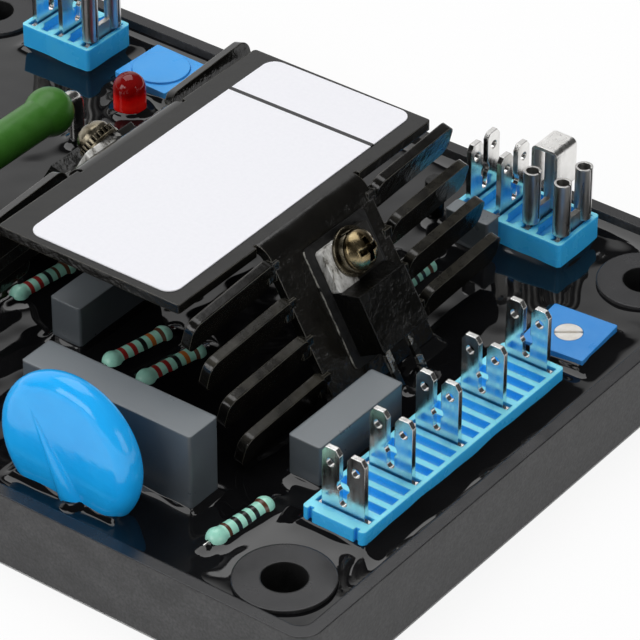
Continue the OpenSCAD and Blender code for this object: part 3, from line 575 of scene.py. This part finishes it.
def potting_surface():
    """Skin over the potting that shows its waves and the rims it forms, open at the fixing holes."""
    hx, hy = 68.75, 49.4
    nx, ny = 326, 234
    open_r = 5.0
    x, y = np.meshgrid(np.linspace(-hx, hx, nx), np.linspace(-hy, hy, ny), indexing="ij")
    points = np.stack([x, y, potting_heights(x, y)], axis=-1).reshape(-1, 3)
    index = np.arange(nx * ny).reshape(nx, ny)
    corners = [index[:-1, :-1], index[1:, :-1], index[1:, 1:], index[:-1, 1:]]
    quads = np.stack(corners, axis=-1).reshape(-1, 4)
    middle = points[quads].mean(axis=1)
    quads = quads[from_boss(middle[:, 0], middle[:, 1]) > open_r]
    used, compact = np.unique(quads, return_inverse=True)
    mesh = bpy.data.meshes.new("potting_surface")
    mesh.from_pydata((points[used] * MM).tolist(), [], compact.reshape(-1, 4).tolist())
    mesh.polygons.foreach_set("use_smooth", [True] * len(mesh.polygons))
    mesh.update()
    obj = bpy.data.objects.new("potting_surface", mesh)
    bpy.context.scene.collection.objects.link(obj)
    paint(obj, finish["potting"])
    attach(obj, "module")


potting_surface()


def white_floor():
    """White floor that glows round the tray and still shows a little of its shadow."""
    side, drop, glow_share = 4.0, 0.0003, 0.88
    bpy.ops.mesh.primitive_plane_add(size=side, location=(0, 0, -drop))
    floor = bpy.context.object
    floor.name = "floor"
    s = Shade("floor_white", (0.95, 0.95, 0.95), 0.8)
    s.colour(s.ramp(s.noise(6, 2), [(0.3, (0.94, 0.94, 0.94)), (0.7, (0.96, 0.96, 0.96))]))
    path = s.add("ShaderNodeLightPath").outputs
    glow = s.add("ShaderNodeEmission")
    glow.inputs["Strength"].default_value = 1.0
    lift = s.add("ShaderNodeMixShader")
    out_x, out_y = (s.math("GREATER_THAN", s.math("ABSOLUTE", s.place(axis)), half * MM)
                    for axis, half in zip("XY", TRAY_HALF))
    around = s.math("MAXIMUM", out_x, out_y)
    mirrored = s.math("MAXIMUM", path["Is Glossy Ray"], path["Is Transmission Ray"])
    direct = s.math("MAXIMUM", path["Is Camera Ray"], mirrored)
    seen = s.math("MULTIPLY", s.math("MULTIPLY", direct, glow_share), around)
    s.link(seen, lift.inputs["Fac"])
    s.link(s.bsdf.outputs["BSDF"], lift.inputs[1])
    s.link(glow.outputs["Emission"], lift.inputs[2])
    s.link(lift.outputs["Shader"], s.tree.nodes["Material Output"].inputs["Surface"])
    paint(floor, s.mat)


def studio_world():
    """White to the camera, a soft dome to the surfaces, and a bright side to polish and glass."""
    horizon, overhead, climb = 0.33, 0.25, 1.3
    bright_side, side_from, side_slope = (-0.8, 0.36, 0.48), 0.6, 2.8
    top_z, top_slope, dim = 0.637, 18.0, 0.05
    world = bpy.data.worlds.new("studio")
    bpy.context.scene.world = world
    world.use_nodes = True
    tree = world.node_tree
    new, link = tree.nodes.new, tree.links.new

    def op(kind, a, b, clamp=False):
        return math_node(tree, kind, a, b, clamp)

    back = tree.nodes["Background"]
    back.inputs["Color"].default_value = (1, 1, 1, 1)
    path = new("ShaderNodeLightPath").outputs
    toward = new("ShaderNodeTexCoord").outputs["Generated"]
    parts = new("ShaderNodeSeparateXYZ")
    link(toward, parts.inputs[0])
    height = parts.outputs["Z"]
    # Soft light for the surfaces: dim at the horizon, full overhead
    dome = op("ADD", op("MULTIPLY", op("POWER", op("MAXIMUM", height, 0.0), climb), overhead), horizon)
    # What polish and glass show: white behind and to the left, up to about 37 degrees, and a dim studio
    aside = new("ShaderNodeVectorMath")
    aside.operation = "DOT_PRODUCT"
    link(toward, aside.inputs[0])
    aside.inputs[1].default_value = bright_side
    lit = op("MULTIPLY", op("SUBTRACT", aside.outputs["Value"], side_from), side_slope, True)
    below = op("MULTIPLY", op("SUBTRACT", top_z, height), top_slope, True)
    shown = op("ADD", op("MULTIPLY", op("MULTIPLY", lit, below), 1.0 - dim), dim)
    clear = op("MAXIMUM", path["Is Glossy Ray"], path["Is Transmission Ray"])
    inner = op("ADD", op("MULTIPLY", dome, op("SUBTRACT", 1.0, clear)), op("MULTIPLY", shown, clear))
    camera = path["Is Camera Ray"]
    link(op("ADD", op("MULTIPLY", inner, op("SUBTRACT", 1.0, camera)), camera), back.inputs["Strength"])


def softbox(name, place, size, watts):
    """Rectangular lamp that points at the middle of the part."""
    lamp = bpy.data.lights.new(name, "AREA")
    lamp.shape = "RECTANGLE"
    lamp.size, lamp.size_y = size
    lamp.energy = watts
    obj = bpy.data.objects.new(name, lamp)
    bpy.context.scene.collection.objects.link(obj)
    obj.location = place
    obj.rotation_euler = (-Vector(place)).to_track_quat("-Z", "Y").to_euler()


def photo_camera():
    """Camera fitted to the photograph: angles in degrees, place in millimetres, focal length in pixels."""
    azimuth, elevation = math.radians(37.116), math.radians(35.452)
    to_right, to_up, distance = 27.04, 0.464, 593.14
    focal_px, photo_px, sensor = 4230.3, 640.0, 36.0
    back = Vector((math.sin(azimuth) * math.cos(elevation), -math.cos(azimuth) * math.cos(elevation),
                   math.sin(elevation)))
    right = Vector((math.cos(azimuth), math.sin(azimuth), 0.0))
    up = back.cross(right)
    place = (right * to_right + up * to_up + back * distance) * MM
    data = bpy.data.cameras.new("photo_view")
    data.sensor_width = sensor
    data.lens = focal_px / photo_px * sensor
    data.clip_start = 0.01
    cam = bpy.data.objects.new("photo_view", data)
    bpy.context.scene.collection.objects.link(cam)
    turn = Matrix((right, up, back)).transposed()
    cam.matrix_world = Matrix.Translation(place) @ turn.to_4x4()
    bpy.context.scene.camera = cam


white_floor()
studio_world()
softbox("overhead", (-0.3, 0.2, 0.88), (0.8, 0.8), 4.6)
softbox("front_fill", (-0.25, -0.9, 0.4), (0.7, 0.5), 3.4)
softbox("right_fill", (0.9, -0.2, 0.3), (0.5, 0.5), 1.4)
photo_camera()

scene = bpy.context.scene
scene.view_settings.view_transform = "Standard"
